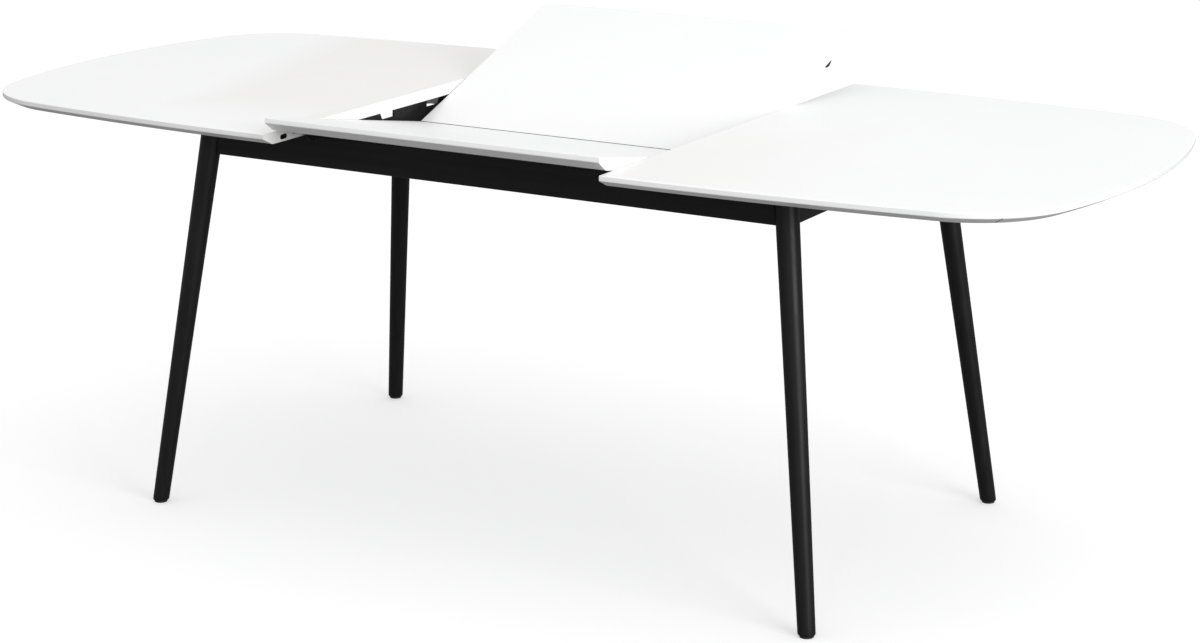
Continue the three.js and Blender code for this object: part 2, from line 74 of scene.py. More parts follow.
# The top's edge, from the underside up.
BEVEL_WIDTH = 25.0 * MM
EDGE_HEIGHT = 9.0 * MM
SOFT_UNDER = 3.0 * MM
SOFT_BEVEL = 1.6 * MM
SOFT_TOP = 1.6 * MM
SEAM_SOFT = 0.4 * MM
FLAT_UNDER = 12 * MM
FLAT_TOP = 6 * MM

# Divisions of the outline's arcs.
SIDE_STEPS = 24
CORNER_STEPS = 40
END_STEPS = 24

LEG_TOP_RADIUS = 20 * MM
LEG_FOOT_RADIUS = 15 * MM


# Meshes.
def link(name, bm, material):
    mesh = bpy.data.meshes.new(name)
    bmesh.ops.recalc_face_normals(bm, faces=bm.faces)
    bm.to_mesh(mesh)
    bm.free()
    obj = bpy.data.objects.new(name, mesh)
    bpy.context.scene.collection.objects.link(obj)
    mesh.materials.append(material)
    return obj


def apply_modifiers(obj):
    bpy.context.view_layer.update()
    graph = bpy.context.evaluated_depsgraph_get()
    mesh = bpy.data.meshes.new_from_object(obj.evaluated_get(graph))
    obj.modifiers.clear()
    obj.data = mesh
    return obj


def smooth(obj, degrees=35):
    obj.data.polygons.foreach_set("use_smooth", [True] * len(obj.data.polygons))
    obj.data.set_sharp_from_angle(angle=math.radians(degrees))
    return obj


def soften(obj, width, segments=3, degrees=40):
    """Rounds every edge that turns by more than this angle."""
    bevel = obj.modifiers.new("soften", "BEVEL")
    bevel.limit_method = "ANGLE"
    bevel.angle_limit = math.radians(degrees)
    bevel.width = width
    bevel.segments = segments
    bevel.use_clamp_overlap = True
    apply_modifiers(obj)
    return smooth(obj)


def even_out(obj):
    """Shades each large face evenly, right up to its rounded edges."""
    weighted = obj.modifiers.new("weighted", "WEIGHTED_NORMAL")
    weighted.keep_sharp = True
    return apply_modifiers(obj)


def add_block(bm, low, high):
    matrix = Matrix.Translation((Vector(low) + Vector(high)) / 2)
    size = Matrix.Diagonal((*(abs(b - a) for a, b in zip(low, high)), 1))
    return bmesh.ops.create_cube(bm, size=1, matrix=matrix @ size)["verts"]


def carve(obj, cutter):
    """Cuts one mesh out of another, and removes the cutter."""
    boolean = obj.modifiers.new("carve", "BOOLEAN")
    boolean.operation = "DIFFERENCE"
    boolean.solver = "EXACT"
    boolean.object = cutter
    apply_modifiers(obj)
    bpy.data.objects.remove(cutter)
    return obj


def rounded(points, reach, steps=5):
    """An open line of 2D points with each inner corner swept by a curve that starts this far from it."""
    out = [Vector(points[0])]
    for before, corner, after, cut in zip(points, points[1:], points[2:], reach):
        corner = Vector(corner)
        start = corner + (Vector(before) - corner).normalized() * cut
        end = corner + (Vector(after) - corner).normalized() * cut
        for i in range(steps + 1):
            t = i / steps
            out.append(start * (1 - t) ** 2 + corner * (2 * t * (1 - t)) + end * t * t)
    out.append(Vector(points[-1]))
    return out


def edge_profile():
    """Inset and height along the top's edge, from the underside up to the top face."""
    corners = [
        (BEVEL_WIDTH + FLAT_UNDER, UNDERSIDE),
        (BEVEL_WIDTH, UNDERSIDE),
        (0, TABLE_HEIGHT - EDGE_HEIGHT),
        (0, TABLE_HEIGHT),
        (FLAT_TOP, TABLE_HEIGHT),
    ]
    return rounded(corners, [SOFT_UNDER, SOFT_BEVEL, SOFT_TOP])


def arc(centre, radius, start, end, steps):
    turn = (end - start) / steps
    return [centre + Vector((math.cos(start + turn * i), math.sin(start + turn * i))) * radius
            for i in range(steps + 1)]


def corner_centre():
    side = Vector((0, HALF_WIDTH - SIDE_RADIUS))
    end = Vector((HALF_LENGTH - END_RADIUS, 0))
    from_side = SIDE_RADIUS - CORNER_RADIUS
    from_end = END_RADIUS - CORNER_RADIUS
    between = end - side
    along = (from_side**2 - from_end**2 + between.length_squared) / (2 * between.length)
    off = math.sqrt(from_side**2 - along**2)
    unit = between.normalized()
    return side, end, side + unit * along + Vector((unit.y, -unit.x)) * off


def half_outline(inset):
    """One half's outline at an inset, from the inner edge's front end round to its back end."""
    side, end, corner = corner_centre()
    side_angle = math.atan2(*reversed(corner - side))
    end_angle = math.atan2(*reversed(corner - end))
    quarter = arc(side, SIDE_RADIUS - inset, math.pi / 2, side_angle, SIDE_STEPS)
    quarter += arc(corner, CORNER_RADIUS - inset, side_angle, end_angle, CORNER_STEPS)[1:]
    quarter += arc(end, END_RADIUS - inset, end_angle, 0, END_STEPS)[1:]
    front = [Vector((p.x, -p.y)) for p in quarter]
    return front + quarter[-2::-1]


def loft(bm, rings):
    """Skins closed rings of points, one after the other, and caps both ends."""
    made = [[bm.verts.new(p) for p in ring] for ring in rings]
    for lower, upper in zip(made, made[1:]):
        for i in range(len(lower)):
            j = (i + 1) % len(lower)
            bm.faces.new((lower[i], lower[j], upper[j], upper[i]))
    bm.faces.new(reversed(made[0]))
    bm.faces.new(made[-1])


def turned(bm, centres, radii, sides=64):
    """A round bar through these centres, one radius at each. Its rings are level."""
    rings = []
    for centre, radius in zip(centres, radii):
        steps = (2 * math.pi * i / sides for i in range(sides))
        rings.append([Vector(centre) + Vector((math.cos(a), math.sin(a), 0)) * radius for a in steps])
    loft(bm, rings)


# Materials.
class Finish:
    """A node material: helpers that add one kind of node each."""

    def __init__(self, name):
        self.material = bpy.data.materials.new(name)
        self.material.use_nodes = True
        self.tree = self.material.node_tree
        self.shader = self.tree.nodes["Principled BSDF"]
        self.place = self.tree.nodes.new("ShaderNodeTexCoord").outputs["Object"]

    def wire(self, source, target):
        self.tree.links.new(source, target)

    def set(self, **values):
        for name, value in values.items():
            self.shader.inputs[name.replace("_", " ")].default_value = value
        return self

    def stretched(self, scale):
        node = self.tree.nodes.new("ShaderNodeMapping")
        node.inputs["Scale"].default_value = scale
        self.wire(self.place, node.inputs["Vector"])
        return node.outputs["Vector"]

    def noise(self, scale, detail=4, roughness=0.5, place=None, distortion=0.0):
        node = self.tree.nodes.new("ShaderNodeTexNoise")
        node.inputs["Scale"].default_value = scale
        node.inputs["Detail"].default_value = detail
        node.inputs["Roughness"].default_value = roughness
        node.inputs["Distortion"].default_value = distortion
        self.wire(place or self.place, node.inputs["Vector"])
        return node.outputs["Fac"]

    def cells(self, scale):
        node = self.tree.nodes.new("ShaderNodeTexVoronoi")
        node.inputs["Scale"].default_value = scale
        self.wire(self.place, node.inputs["Vector"])
        return node.outputs["Color"]

    def ramp(self, factor, *stops):
        node = self.tree.nodes.new("ShaderNodeValToRGB")
        points = node.color_ramp.elements
        while len(points) < len(stops):
            points.new(0.5)
        for point, (position, colour) in zip(points, stops):
            point.position = position
            point.color = (*colour, 1) if hasattr(colour, "__len__") else (colour, colour, colour, 1)
        self.wire(factor, node.inputs["Fac"])
        return node.outputs["Color"]

    def span(self, factor, low, high, from_low=0.3, from_high=0.7):
        node = self.tree.nodes.new("ShaderNodeMapRange")
        limits = {"From Min": from_low, "From Max": from_high, "To Min": low, "To Max": high}
        for name, value in limits.items():
            node.inputs[name].default_value = value
        self.wire(factor, node.inputs["Value"])
        return node.outputs["Result"]

    def mix(self, factor, first, second):
        node = self.tree.nodes.new("ShaderNodeMix")
        node.data_type = "RGBA"
        self.wire(factor, node.inputs["Factor"])
        for source, socket in ((first, node.inputs["A"]), (second, node.inputs["B"])):
            if hasattr(source, "__len__"):
                socket.default_value = (*source, 1)
            else:
                self.wire(source, socket)
        return node.outputs["Result"]

    def worn(self, low, high):
        """How far a point stands out along an edge, from 0 to 1."""
        geometry = self.tree.nodes.new("ShaderNodeNewGeometry")
        return self.span(geometry.outputs["Pointiness"], 0, 1, low, high)

    def bump(self, *heights):
        normal = None
        for height, strength, distance in heights:
            node = self.tree.nodes.new("ShaderNodeBump")
            node.inputs["Strength"].default_value = strength
            node.inputs["Distance"].default_value = distance
            self.wire(height, node.inputs["Height"])
            if normal:
                self.wire(normal, node.inputs["Normal"])
            normal = node.outputs["Normal"]
        self.wire(normal, self.shader.inputs["Normal"])

    def colour(self, source):
        self.wire(source, self.shader.inputs["Base Color"])

    def roughness(self, source):
        self.wire(source, self.shader.inputs["Roughness"])


def white_lacquer():
    finish = Finish("white_lacquer").set(Coat_Weight=0.12, Coat_Roughness=0.25, Specular_IOR_Level=0.45)
    clouds = finish.ramp(finish.noise(1.6, 3), (0.3, (0.845, 0.848, 0.850)), (0.7, (0.868, 0.869, 0.868)))
    specks = finish.ramp(finish.noise(260, 2, 0.6), (0.27, 0.0), (0.30, 1.0))
    body = finish.mix(specks, (0.80, 0.80, 0.79), clouds)
    finish.colour(finish.mix(finish.worn(0.54, 0.62), body, (0.80, 0.795, 0.78)))
    finish.roughness(finish.span(finish.noise(9, 5, 0.6), 0.34, 0.46))
    finish.bump((finish.noise(620, 2), 0.10, 0.05 * MM), (finish.noise(34, 2), 0.06, 0.25 * MM))
    return finish.material


def painted_joint_shade():
    """Near-black painted shade inside a hairline joint's groove, standing in for the joint's shadow."""
    finish = Finish("painted_joint_shade").set(Specular_IOR_Level=0.1)
    finish.colour(finish.ramp(finish.noise(300, 3), (0.3, 0.008), (0.7, 0.016)))
    finish.roughness(finish.span(finish.noise(300, 3), 0.8, 0.95))
    finish.bump((finish.noise(1200, 2), 0.3, 0.05 * MM))
    return finish.material


def painted_seam_shade():
    """Grey painted shade on the two edges that meet at the fold, standing in for the shade in the fold's
    groove.
    """
    finish = Finish("painted_seam_shade").set(Specular_IOR_Level=0.2)
    finish.colour(finish.ramp(finish.noise(90, 4), (0.3, (0.17, 0.17, 0.175)), (0.7, (0.23, 0.23, 0.235))))
    finish.roughness(finish.span(finish.noise(140, 3), 0.6, 0.8))
    finish.bump((finish.noise(900, 3), 0.25, 0.05 * MM))
    return finish.material


def black_lacquer(name, along):
    """Black stain and lacquer on wood, with its grain along one axis."""
    finish = Finish(name).set(Specular_IOR_Level=0.22)
    scale = [70, 70, 70]
    scale["XYZ".index(along)] = 3.2
    grain_place = finish.stretched(scale)
    grain = finish.noise(1.0, 8, 0.62, grain_place, 0.35)
    pores = finish.noise(5.5, 4, 0.7, grain_place)
    dark = (0.0042, 0.0042, 0.0044)
    light = (0.0088, 0.0088, 0.0089)
    body = finish.ramp(grain, (0.32, dark), (0.68, light))
    finish.colour(finish.mix(finish.worn(0.56, 0.66), body, (0.022, 0.021, 0.020)))
    finish.roughness(finish.span(finish.noise(22, 5, 0.6), 0.34, 0.46))
    finish.bump((pores, 0.16, 0.10 * MM), (grain, 0.12, 0.15 * MM))
    return finish.material


def black_steel():
    finish = Finish("black_powder_coat").set(Metallic=0.0, Specular_IOR_Level=0.28)
    tone = finish.ramp(finish.noise(60, 4), (0.3, 0.005), (0.7, 0.011))
    finish.colour(finish.mix(finish.worn(0.55, 0.66), tone, (0.07, 0.07, 0.072)))
    finish.roughness(finish.span(finish.noise(180, 3), 0.38, 0.55))
    finish.bump((finish.noise(1500, 2, 0.6), 0.30, 0.04 * MM))
    return finish.material


def zinc_steel():
    finish = Finish("zinc_plate").set(Metallic=1.0)
    flakes = finish.cells(420)
    tone = finish.ramp(flakes, (0.0, (0.50, 0.51, 0.53)), (1.0, (0.66, 0.67, 0.68)))
    stains = finish.ramp(finish.noise(18, 5, 0.6), (0.35, 0.0), (0.65, 1.0))
    finish.colour(finish.mix(stains, (0.46, 0.455, 0.44), tone))
    finish.roughness(finish.span(finish.noise(90, 5), 0.26, 0.46))
    finish.bump((finish.noise(500, 3), 0.12, 0.03 * MM))
    return finish.material


def black_nylon():
    finish = Finish("black_nylon").set(Specular_IOR_Level=0.45)
    finish.colour(finish.ramp(finish.noise(120, 4), (0.3, 0.012), (0.7, 0.020)))
    finish.roughness(finish.span(finish.noise(240, 3), 0.50, 0.66))
    finish.bump((finish.noise(1900, 2), 0.25, 0.03 * MM))
    return finish.material


def grey_felt():
    finish = Finish("grey_felt").set(Sheen_Weight=0.4, Sheen_Roughness=0.6, Specular_IOR_Level=0.2)
    fibres = finish.noise(900, 6, 0.75, None, 1.5)
    finish.colour(finish.ramp(fibres, (0.3, (0.05, 0.05, 0.053)), (0.7, (0.13, 0.13, 0.135))))
    finish.roughness(finish.span(fibres, 0.85, 1.0))
    finish.bump((fibres, 0.8, 0.4 * MM))
    return finish.material


WHITE = white_lacquer()
SEAM_SHADE = painted_seam_shade()
JOINT_SHADE = painted_joint_shade()
BLACK_ALONG = {axis: black_lacquer(f"black_lacquer_{axis.lower()}", axis) for axis in "XYZ"}
STEEL = black_steel()
ZINC = zinc_steel()
NYLON = black_nylon()
FELT = grey_felt()


# Table top halves.
SOCKET_ROOM = 0.3 * MM
SOCKET_DEPTH = 15 * MM
PIN_SLOTS = [(sign * 386 * MM, 735 * MM) for sign in ENDS.values()]
PIN_SLOT_SIZE = (17 * MM, 7 * MM)
PIN_SLOT_DEPTH = 12 * MM
SLOT_STEPS = 16
PAST_END_FACE = 2 * MM
EDGE_JOINT_ANGLE = math.radians(52)
EDGE_JOINT_LEAN = 2.4 * MM
EDGE_JOINT_WIDTH = 1.8 * MM
EDGE_JOINT_DEPTH = 3 * MM
HALF_EASE = 0.4 * MM


def add_slot(bm, side, y, z, size, depth):
    """A slot with round ends, sunk this deep into a half's inner end face."""
    width, height = size
    radius = height / 2
    straight = width / 2 - radius
    outline = []
    for end in (1, -1):
        for i in range(SLOT_STEPS + 1):
            angle = math.pi * (i / SLOT_STEPS - 0.5)
            across = straight + radius * math.cos(angle)
            outline.append((y + end * across, z + end * radius * math.sin(angle)))
    reach = (INNER_EDGE - PAST_END_FACE, INNER_EDGE + depth)
    loft(bm, [[Vector((SIDES[side] * x, *point)) for point in outline] for x in reach])


def add_edge_joint(bm, side):
    """A hairline joint in the bevel, near the front of the rounded end."""
    corner = corner_centre()[2]
    spoke = Vector((math.cos(EDGE_JOINT_ANGLE), math.sin(EDGE_JOINT_ANGLE)))
    lean = Vector((-spoke.y, spoke.x)) * EDGE_JOINT_LEAN
    inner = corner + spoke * (CORNER_RADIUS - BEVEL_WIDTH) + lean
    outer = corner + spoke * CORNER_RADIUS - lean
    start = Vector((INNER_EDGE + inner.x, -inner.y, UNDERSIDE))
    end = Vector((INNER_EDGE + outer.x, -outer.y, TABLE_HEIGHT - EDGE_HEIGHT))
    along = (end - start).normalized()
    across = Vector((-spoke.y, -spoke.x, 0)).normalized()
    out = along.cross(across).normalized()
    place = Matrix((along, across, out)).transposed().to_4x4()
    place.translation = (start + end) / 2
    size = Matrix.Diagonal(((end - start).length, EDGE_JOINT_WIDTH, 2 * EDGE_JOINT_DEPTH, 1))
    if SIDES[side] < 0:
        place = Matrix.Rotation(math.pi, 4, "Z") @ place
    made = bmesh.ops.create_cube(bm, size=1, matrix=place @ size)["verts"]
    # The groove's faces take the second material: the near-black painted shade.
    for face in {face for vert in made for face in vert.link_faces}:
        face.material_index = 1


def half_top(side):
    bm = bmesh.new()
    rings = [(half_outline(inset), height) for inset, height in edge_profile()]
    loft(bm, [[Vector((p.x, p.y, height)) for p in outline] for outline, height in rings])
    turn = Matrix.Rotation(math.pi, 4, "Z") if SIDES[side] < 0 else Matrix.Identity(4)
    bm.transform(Matrix.Translation((SIDES[side] * INNER_EDGE, 0, 0)) @ turn)
    obj = link(f"half_{side}", bm, WHITE)
    cuts = bmesh.new()
    for end in ENDS:
        low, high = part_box(f"socket_{end}_{side}")
        middle = (low + high) / 2
        size = (high.y - low.y + 2 * SOCKET_ROOM, high.z - low.z + 2 * SOCKET_ROOM)
        add_slot(cuts, side, middle.y, middle.z, size, SOCKET_DEPTH)
    for y, z in PIN_SLOTS:
        add_slot(cuts, side, y, z, PIN_SLOT_SIZE, PIN_SLOT_DEPTH)
    add_edge_joint(cuts, side)
    # Second material: the near-black painted shade for the edge joint's groove.
    obj.data.materials.append(JOINT_SHADE)
    cutter = link("cuts", cuts, WHITE)
    cutter.data.materials.append(JOINT_SHADE)
    carve(obj, cutter)
    even_out(soften(obj, HALF_EASE, 2, 60))
    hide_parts(f"top_{side}")
    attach(obj, f"top_{side}")


# Leaf panels, made flat and then laid at the rest pose.
def about_x(point, angle):
    return Matrix.Translation(point) @ Matrix.Rotation(angle, 4, "X") @ Matrix.Translation(-Vector(point))


FOLD_SLACK_DEG = 0.01
FOLD = -math.radians(JOINTS["leaf_fold"]["range_deg"][0] + FOLD_SLACK_DEG)
LEAF_REST = {"back": about_x(PIVOT, REAR_TILT)}
LEAF_REST["front"] = about_x(FOLD_AT_REST, -FOLD) @ LEAF_REST["back"]
SEAM_GAP = 0.5 * MM
PANEL_WIDTH = HALF_WIDTH - SEAM_GAP
HINGE_COUNT = 3
HINGE_NOTCH = (8 * MM, 0.6 * MM)
HINGE_POCKET = (11.6 * MM, 24.6 * MM)
HINGE_POCKET_LOW = 726.4 * MM
HINGE_POCKET_HIGH = 739.6 * MM
PAST_SEAM = 5 * MM
PAST_FACE = 1 * MM
PANEL_EASE = 0.5 * MM
SEAM_REACH = 1.2 * MM
SEAM_FACING = -0.8


def hinge_places():
    boxes = [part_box(f"hinge_{i + 1}_{end}") for i in range(HINGE_COUNT) for end in ENDS]
    pairs = zip(boxes[::2], boxes[1::2])
    return [(min(a[0].x, b[0].x) + max(a[1].x, b[1].x)) / 2 for a, b in pairs]


def carve_at_hinges(obj, sign, size, heights):
    """Cuts a block out of a panel's seam edge at each hinge. The size is half its length, and its depth."""
    half, deep = size
    low, high = heights
    blocks = bmesh.new()
    for x in hinge_places():
        add_block(blocks, (x - half, -sign * PAST_SEAM, low), (x + half, sign * deep, high))
    carve(obj, link("blocks", blocks, WHITE))


def leaf_panel(end):
    sign = ENDS[end]
    outer = sign * HALF_WIDTH
    edge = [Vector((outer - sign * inset, height)) for inset, height in edge_profile()]
    inner = sign * SEAM_GAP
    corners = [(outer, TABLE_HEIGHT), (inner, TABLE_HEIGHT), (inner, UNDERSIDE), (outer, UNDERSIDE)]
    ring = edge + rounded(corners, [SEAM_SOFT, SEAM_SOFT])[1:-1]
    bm = bmesh.new()
    loft(bm, [[Vector((x, p.x, p.y)) for p in ring] for x in (-LEAF_END, LEAF_END)])
    obj = link(f"leaf_{end}", bm, WHITE)
    notch_heights = (UNDERSIDE - PAST_FACE, TABLE_HEIGHT + PAST_FACE)
    carve_at_hinges(obj, sign, HINGE_NOTCH, notch_heights)
    carve_at_hinges(obj, sign, HINGE_POCKET, (HINGE_POCKET_LOW, HINGE_POCKET_HIGH))
    even_out(soften(obj, PANEL_EASE, 2, 55))
    # The faces at the fold take the grey painted shade as a second material.
    obj.data.materials.append(SEAM_SHADE)
    for face in obj.data.polygons:
        if abs(face.center.y) < SEAM_REACH and face.normal.y * sign < SEAM_FACING:
            face.material_index = 1
    obj.data.transform(LEAF_REST[end])
    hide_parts(f"leaf_panel_{end}")
    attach(obj, f"leaf_{end}")


# Frame: legs, glides and aprons.
def leg_line(end, side):
    """Centres of a leg's axis at its foot and at its top."""
    low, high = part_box(f"foot_glide_{end}_{side}")
    foot = (low + high) / 2
    low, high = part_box(f"leg_{end}_{side}")
    foot.z = low.z
    x = high.x - LEG_TOP_RADIUS if SIDES[side] < 0 else low.x + LEG_TOP_RADIUS
    y = high.y - LEG_TOP_RADIUS if ENDS[end] < 0 else low.y + LEG_TOP_RADIUS
    return foot, Vector((x, y, high.z))


HEEL_SOFT = 3.5 * MM
HEEL_STEPS = 6
SHAFT_STATIONS = (0.02, 0.25, 0.5, 0.75, 0.97)
LEG_TOP_EASE = 1 * MM


def leg_mesh(bm, end, side, extra=0.0):
    foot, top = leg_line(end, side)
    turns = (i * math.pi / (2 * HEEL_STEPS) for i in range(HEEL_STEPS + 1))
    heel = [(HEEL_SOFT * (1 - math.cos(a)), HEEL_SOFT * (1 - math.sin(a))) for a in turns]
    rise = top.z - foot.z
    stations = [(up / rise, LEG_FOOT_RADIUS - back) for up, back in heel]
    taper = LEG_TOP_RADIUS - LEG_FOOT_RADIUS
    stations += [(t, LEG_FOOT_RADIUS + taper * t) for t in SHAFT_STATIONS]
    stations += [(1 - LEG_TOP_EASE / rise, LEG_TOP_RADIUS), (1, LEG_TOP_RADIUS - LEG_TOP_EASE)]
    centres = [foot.lerp(top, t) for t, _ in stations]
    turned(bm, centres, [radius + extra for _, radius in stations])


def leg(end, side):
    bm = bmesh.new()
    leg_mesh(bm, end, side)
    obj = smooth(link(f"turned_leg_{end}_{side}", bm, BLACK_ALONG["Z"]), 40)
    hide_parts(f"leg_{end}_{side}")
    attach(obj, "frame")


def foot_glide(end, side):
    low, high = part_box(f"foot_glide_{end}_{side}")
    middle = (low + high) / 2
    radius = (high.x - low.x) / 2
    levels = [
        (low.z, radius - 1.0 * MM),
        (low.z + 0.3 * MM, radius - 0.3 * MM),
        (low.z + 1.0 * MM, radius),
        (high.z - 0.8 * MM, radius - 0.5 * MM),
        (high.z, radius - 1.2 * MM),
    ]
    bm = bmesh.new()
    turned(bm, [Vector((middle.x, middle.y, z)) for z, _ in levels], [r for _, r in levels], 48)
    obj = smooth(link(f"glide_{end}_{side}", bm, NYLON), 50)
    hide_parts(f"foot_glide_{end}_{side}")
    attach(obj, "frame")


APRON_JOINT = 0.8 * MM
APRON_EASE = 1.6 * MM


def apron(name, corners, along):
    """A board with eased edges, coped to the two legs it meets."""
    low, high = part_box(name)
    bm = bmesh.new()
    add_block(bm, low, high)
    obj = link(f"{name}_board", bm, BLACK_ALONG[along])
    soften(obj, APRON_EASE, 4)
    cutter = bmesh.new()
    for end, side in corners:
        leg_mesh(cutter, end, side, APRON_JOINT)
    carve(obj, link("copes", cutter, BLACK_ALONG[along]))
    even_out(smooth(obj))
    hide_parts(name)
    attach(obj, "frame")


# Small pieces: the CAD solid with its edges rounded.
def refined(node, body, material, width):
    bm = bmesh.new()
    bm.from_mesh(frame["nodes"][node].data)
    bmesh.ops.remove_doubles(bm, verts=bm.verts, dist=0.01 * MM)
    bmesh.ops.dissolve_limit(bm, angle_limit=math.radians(1), verts=bm.verts, edges=bm.edges)
    obj = link(f"{node}_finished", bm, material)
    even_out(soften(obj, width))
    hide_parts(node)
    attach(obj, body)


# Screws: pan heads with a cross recess, gathered into one piece for each body.
def screw_mesh(radius):
    bm = bmesh.new()
    height = radius * 0.62
    levels = [(0, radius * 0.96), (height * 0.35, radius)]
    levels += [(height * (0.35 + 0.65 * math.sin(a)), radius * (0.32 + 0.68 * math.cos(a)))
               for a in (math.radians(d) for d in (18, 36, 54, 72, 90))]
    turned(bm, [Vector((0, 0, z)) for z, _ in levels], [r for _, r in levels], 24)
    head = link("screw_head", bm, STEEL)
    cross = bmesh.new()
    deep, arm, slit = height * 0.45, radius * 0.52, radius * 0.13
    add_block(cross, (-arm, -slit, deep), (arm, slit, height * 2))
    recess = link("recess", cross, STEEL)
    carve(head, recess)
    cross = bmesh.new()
    add_block(cross, (-slit, -arm, deep), (slit, arm, height * 2))
    carve(head, link("recess", cross, STEEL))
    mesh = head.data
    bpy.data.objects.remove(head)
    return mesh


def screws(name, body, places, radius, material):
    """places holds (point on the surface, outward direction) pairs."""
    head = screw_mesh(radius)
    bm = bmesh.new()
    for i, (point, outward) in enumerate(places):
        outward = Vector(outward).normalized()
        turn = outward.to_track_quat("Z", "Y").to_matrix().to_4x4() @ Matrix.Rotation(0.7 * i, 4, "Z")
        start = len(bm.verts)
        bm.from_mesh(head)
        bm.verts.ensure_lookup_table()
        bmesh.ops.transform(bm, matrix=Matrix.Translation(point) @ turn, verts=bm.verts[start:])
    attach(smooth(link(name, bm, material), 30), body)


# Leg bolts: a hex head with a washer.
def leg_bolt(end, side):
    node = f"leg_bolt_{end}_{side}"
    mesh = frame["nodes"][node].data
    direction = Vector((SIDES[side], ENDS[end], 0)).normalized()
    points = [v.co for v in mesh.vertices]
    reach = [p.dot(direction) for p in points]
    start, finish = min(reach), max(reach)
    middle = sum(points, Vector()) / len(points)
    base = middle - direction * middle.dot(direction)
    turn = direction.to_track_quat("Z", "Y").to_matrix().to_4x4()
    place = Matrix.Translation(base + direction * start) @ turn
    head, chamfer, across, shank = 5.5 * MM, 0.7 * MM, 7.5 * MM, 4.0 * MM
    washer, washer_thickness = 8.5 * MM, 0.4 * MM
    pitch, thread_depth = 1.25 * MM, 0.35 * MM
    bm = bmesh.new()
    rings = []
    for z, radius in ((0, across - chamfer), (chamfer, across), (head, across)):
        corners = [Vector((math.cos(math.pi * k / 3), math.sin(math.pi * k / 3), 0)) for k in range(6)]
        rings.append([corner * radius + Vector((0, 0, z)) for corner in corners])
    loft(bm, rings)
    bm.transform(place)
    obj = soften(link(f"bolt_head_{end}_{side}", bm, ZINC), 0.35 * MM, 2, 25)
    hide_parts(node)
    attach(obj, "frame")
    bm = bmesh.new()
    length = finish - start
    stations = [(head - washer_thickness, washer), (head, washer), (head + 0.01 * MM, shank)]
    turns = int((length - head - 4 * MM) / (pitch / 2))
    for i in range(turns):
        stations.append((head + 2 * MM + i * pitch / 2, shank - (thread_depth if i % 2 else 0)))
    stations.append((length, shank - 1 * MM))
    turned(bm, [Vector((0, 0, z)) for z, _ in stations], [r for _, r in stations], 32)
    bm.transform(place)
    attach(smooth(link(f"bolt_shank_{end}_{side}", bm, ZINC), 30), "frame")


for side_name in SIDES:
    half_top(side_name)
for end_name in ENDS:
    leaf_panel(end_name)
for end_name, side_name in CORNERS:
    leg(end_name, side_name)
    foot_glide(end_name, side_name)
    leg_bolt(end_name, side_name)
for end_name in ENDS:
    apron(f"apron_{end_name}", [(end_name, side) for side in SIDES], "X")
for side_name in SIDES:
    apron(f"apron_{side_name}", [(end, side_name) for end in ENDS], "Y")

for end_name, side_name in CORNERS:
    corner = f"{end_name}_{side_name}"
    refined(f"corner_plate_{corner}", "frame", ZINC, 0.6 * MM)
    refined(f"glide_block_{corner}", "frame", NYLON, 1.5 * MM)
    refined(f"leaf_pad_{corner}", "frame", FELT, 1.0 * MM)
    refined(f"runner_{corner}", f"top_{side_name}", STEEL, 0.5 * MM)
    refined(f"socket_{corner}", f"top_{side_name}", NYLON, 0.4 * MM)
    refined(f"catch_{corner}", f"leaf_{end_name}", STEEL, 0.5 * MM)
for side_name in SIDES:
    refined(f"cross_member_{side_name}", "frame", STEEL, 0.8 * MM)
    refined(f"pivot_bracket_{side_name}", "frame", STEEL, 0.5 * MM)
    refined(f"pivot_arm_{side_name}", "leaf_back", STEEL, 0.4 * MM)
for end_name in ENDS:
    refined(f"slide_channel_{end_name}", "frame", ZINC, 0.5 * MM)
    for number in range(HINGE_COUNT):
        refined(f"hinge_{number + 1}_{end_name}", f"leaf_{end_name}", STEEL, 0.3 * MM)


RUNNER_SCREW_SHARES = (0.1, 0.5, 0.9)
CHANNEL_SCREW_X = (-300 * MM, -100 * MM, 100 * MM, 300 * MM)
LATCH_Y = {"front": -353 * MM, "back": 398 * MM}
LATCH_SCREW_X = (290 * MM, 306 * MM)
ARM_SCREW_X = 304 * MM
ARM_SCREW_REACH = 17 * MM


def runner_screws(side):
    places = []
    for end in ENDS:
        low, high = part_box(f"runner_{end}_{side}")
        y = low.y + 12 * MM if ENDS[end] > 0 else high.y - 12 * MM
        plate = high.z - 3 * MM
        for share in RUNNER_SCREW_SHARES:
            places.append((Vector((low.x + (high.x - low.x) * share, y, plate)), (0, 0, -1)))
    screws(f"runner_screws_{side}", f"top_{side}", places, 4.2 * MM, ZINC)


def channel_screws():
    places = []
    for end in ENDS:
        low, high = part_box(f"slide_channel_{end}")
        wall = high.y - 2 * MM if ENDS[end] > 0 else low.y + 2 * MM
        for x in CHANNEL_SCREW_X:
            places.append((Vector((x, wall, (low.z + high.z) / 2)), (0, -ENDS[end], 0)))
    screws("channel_screws", "frame", places, 3.0 * MM, ZINC)


def plate_screws():
    places = []
    for end, side in CORNERS:
        low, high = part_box(f"corner_plate_{end}_{side}")
        x_in = low.x + 14 * MM if SIDES[side] > 0 else high.x - 14 * MM
        y_in = low.y + 14 * MM if ENDS[end] > 0 else high.y - 14 * MM
        x_face = high.x - 3 * MM if SIDES[side] > 0 else low.x + 3 * MM
        y_face = high.y - 3 * MM if ENDS[end] > 0 else low.y + 3 * MM
        z = (low.z + high.z) / 2
        places.append((Vector((x_in, y_face, z)), (0, -ENDS[end], 0)))
        places.append((Vector((x_face, y_in, z)), (-SIDES[side], 0, 0)))
    screws("plate_screws", "frame", places, 4.0 * MM, ZINC)


def bracket_screws():
    places = []
    for side in SIDES:
        low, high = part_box(f"pivot_bracket_{side}")
        face = low.x if SIDES[side] > 0 else high.x
        for y in (low.y + 9 * MM, high.y - 9 * MM):
            places.append((Vector((face, y, low.z + 10 * MM)), (-SIDES[side], 0, 0)))
    screws("bracket_screws", "frame", places, 3.6 * MM, ZINC)


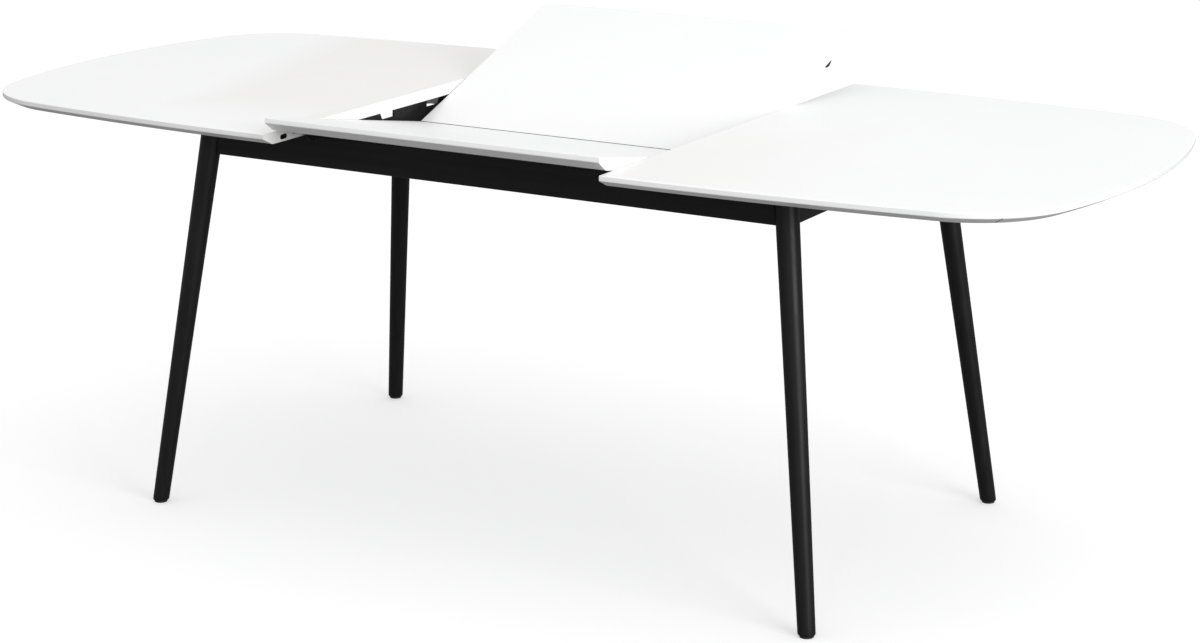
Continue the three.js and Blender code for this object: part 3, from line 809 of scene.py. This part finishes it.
def leaf_screws(end):
    """Screws through the latches, and on the back panel through the pivot arms too."""
    down = LEAF_REST[end].to_3x3() @ Vector((0, 0, -1))
    plate = UNDERSIDE - 2.8 * MM
    places = []
    for sign in SIDES.values():
        for x in LATCH_SCREW_X:
            places.append(LEAF_REST[end] @ Vector((sign * x, LATCH_Y[end], plate)))
        if end == "back":
            for y in (PIVOT.y - ARM_SCREW_REACH, PIVOT.y + ARM_SCREW_REACH):
                places.append(LEAF_REST[end] @ Vector((sign * ARM_SCREW_X, y, plate)))
    pairs = [(place, down) for place in places]
    screws(f"leaf_screws_{end}", f"leaf_{end}", pairs, 3.4 * MM, ZINC)


for side_name in SIDES:
    runner_screws(side_name)
channel_screws()
plate_screws()
bracket_screws()
for end_name in ENDS:
    leaf_screws(end_name)


# Stage, camera and light.
def stage():
    bm = bmesh.new()
    bmesh.ops.create_grid(bm, x_segments=1, y_segments=1, size=40)
    finish = Finish("pale_floor").set(Roughness=0.9, Specular_IOR_Level=0.1, Emission_Strength=0.42)
    finish.set(Emission_Color=(1, 1, 1, 1))
    finish.colour(finish.ramp(finish.noise(0.8, 2), (0.3, 0.60), (0.7, 0.61)))
    floor = link("floor", bm, finish.material)
    floor.visible_diffuse = False
    floor.visible_glossy = False


def camera():
    data = bpy.data.cameras.new("camera")
    data.lens = 80.03
    data.sensor_width = 36
    data.clip_end = 200
    obj = bpy.data.objects.new("camera", data)
    obj.location = (2.4129, -4.0499, 1.6334)
    obj.rotation_euler = (math.radians(90 - 15.253), 0, math.radians(30.206))
    bpy.context.scene.collection.objects.link(obj)
    bpy.context.scene.camera = obj


def soft_box(name, place, target, size, power):
    data = bpy.data.lights.new(name, "AREA")
    data.shape = "RECTANGLE"
    data.size, data.size_y = size
    data.energy = power
    obj = bpy.data.objects.new(name, data)
    obj.location = place
    obj.rotation_euler = (Vector(target) - Vector(place)).to_track_quat("-Z", "Y").to_euler()
    bpy.context.scene.collection.objects.link(obj)


def sky():
    """A pale dome, darker below the horizon."""
    world = bpy.data.worlds.new("studio")
    world.use_nodes = True
    tree = world.node_tree
    background = tree.nodes["Background"]
    place = tree.nodes.new("ShaderNodeTexCoord")
    split = tree.nodes.new("ShaderNodeSeparateXYZ")
    ramp = tree.nodes.new("ShaderNodeValToRGB")
    shift = tree.nodes.new("ShaderNodeMapRange")
    shift.inputs["From Min"].default_value = -1
    tree.links.new(place.outputs["Generated"], split.inputs["Vector"])
    tree.links.new(split.outputs["Z"], shift.inputs["Value"])
    tree.links.new(shift.outputs["Result"], ramp.inputs["Fac"])
    tree.links.new(ramp.outputs["Color"], background.inputs["Color"])
    points = ramp.color_ramp.elements
    points[0].position, points[0].color = 0.47, (0.20, 0.20, 0.20, 1)
    points[1].position, points[1].color = 0.53, (0.78, 0.78, 0.79, 1)
    points.new(1.0).color = (0.96, 0.96, 0.96, 1)
    background.inputs["Strength"].default_value = 1.1
    bpy.context.scene.world = world


stage()
camera()
sky()
soft_box("side", (7.0, -2.6, 2.2), (0.3, 0, 0.7), (4.0, 3.0), 370)
soft_box("strip", (1.9, -5.4, 2.3), (0.6, 0, 0.4), (0.25, 2.6), 14)
bpy.context.scene.view_settings.view_transform = "Standard"
